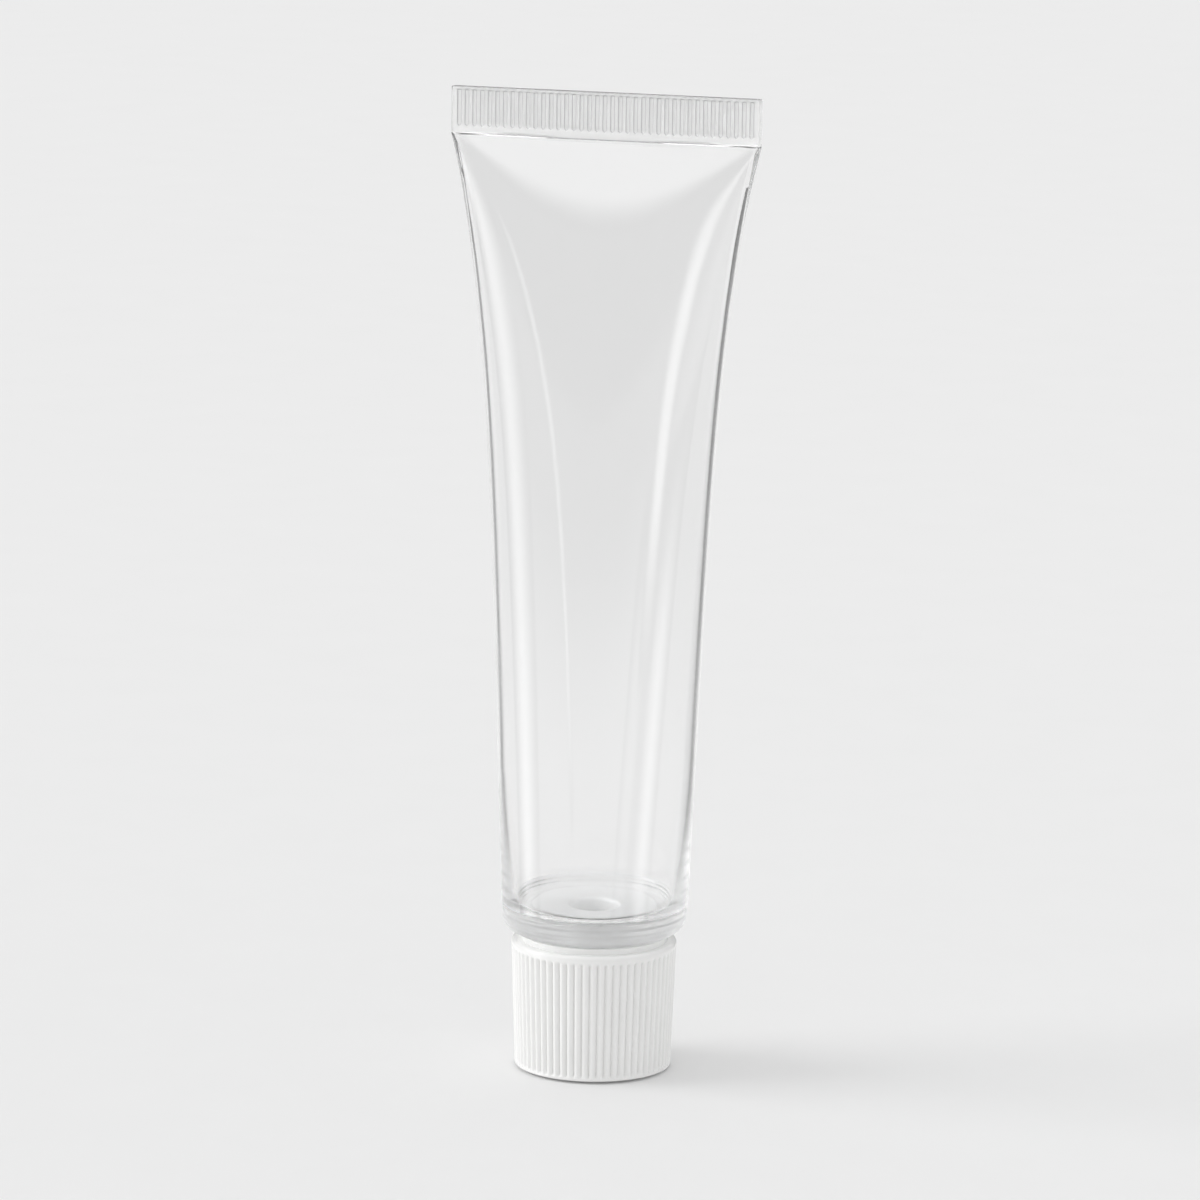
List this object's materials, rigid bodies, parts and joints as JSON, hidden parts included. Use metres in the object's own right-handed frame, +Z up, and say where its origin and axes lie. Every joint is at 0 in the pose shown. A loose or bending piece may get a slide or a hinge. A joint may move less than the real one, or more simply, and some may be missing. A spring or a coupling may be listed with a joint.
{
  "type": "squeeze tube",
  "caption": "Empty clear plastic squeeze tube with a ribbed crimp seal, standing on its white ribbed screw cap, which unscrews.",
  "frame": {"origin": "middle of the flat foot of the cap, on the surface that the tube stands on", "axes": "+Z up along the tube's axis from the cap to the crimp, X along the crimp seal, Y through the flattened sleeve"},
  "size_m": [0.042, 0.025, 0.1315],
  "materials": {
    "clear_plastic": "clear, glossy",
    "white_plastic": "satin white",
    "seal_foam": "soft white foam"
  },
  "bodies": {
    "cap": {"screw_cap": "white_plastic"},
    "seal": {"cap_seal": "seal_foam"},
    "tube": {"tube": "clear_plastic"}
  },
  "joints": [
    {"name": "tube_turn", "type": "hinge", "parent": "cap", "child": "seal", "pos_m": [0, 0, 0], "axis": [0, 0, 1], "range_deg": [0, 900]},
    {"name": "tube_lift", "type": "slide", "parent": "seal", "child": "tube", "axis": [0, 0, 1], "range_m": [0, 0.0075]}
  ],
  "couplings": [
    {"joint": "tube_lift", "follows": "tube_turn", "m_per_rad": 0.00047746}
  ]
}
